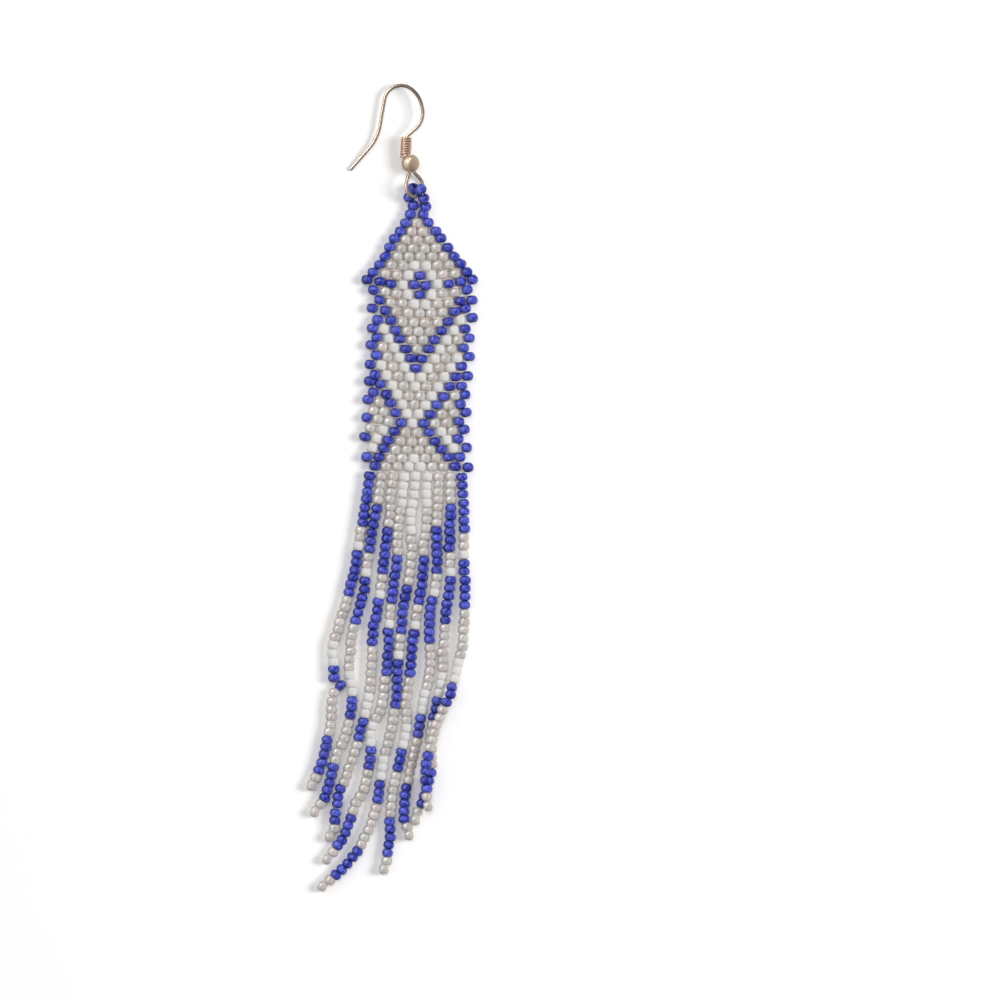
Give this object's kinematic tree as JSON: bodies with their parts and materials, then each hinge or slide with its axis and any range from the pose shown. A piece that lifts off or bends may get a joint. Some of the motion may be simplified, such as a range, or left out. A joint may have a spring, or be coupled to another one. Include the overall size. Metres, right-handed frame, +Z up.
{
  "type": "statement earring",
  "caption": "Long bead-woven earring on a fish-hook ear wire: a pointed panel of seed beads with a fringe of bead strings, lying face up.",
  "frame": {"origin": "on the surface that the earring lies on, under the middle of the whole earring's box", "axes": "+X across the panel, +Y along the earring towards the ear wire, +Z up from the surface, out of the panel's face"},
  "size_m": [0.0284, 0.1494, 0.0041],
  "materials": {
    "gold_wire": "polished pale gold plating",
    "rose_gold_wire": "polished rose gold plating",
    "gold_ball": "satin pale gold plating",
    "cobalt_beads": "opaque satin cobalt blue glass",
    "lustre_beads": "translucent pearly beige lustre glass",
    "white_beads": "opaque chalk white glass",
    "thread": "white nylon beading thread"
  },
  "bodies": {
    "root": {"ear_wire": "gold_wire", "wire_coil": "rose_gold_wire", "ball_bead": "gold_ball", "hanger_loop": "cobalt_beads", "bead_panel": "lustre_beads", "strand_1": "cobalt_beads", "strand_2": "cobalt_beads", "strand_3": "cobalt_beads", "strand_4": "cobalt_beads", "strand_5": "cobalt_beads", "strand_6": "cobalt_beads", "strand_7": "cobalt_beads", "strand_8": "cobalt_beads", "strand_9": "cobalt_beads"}
  },
  "joints": []
}
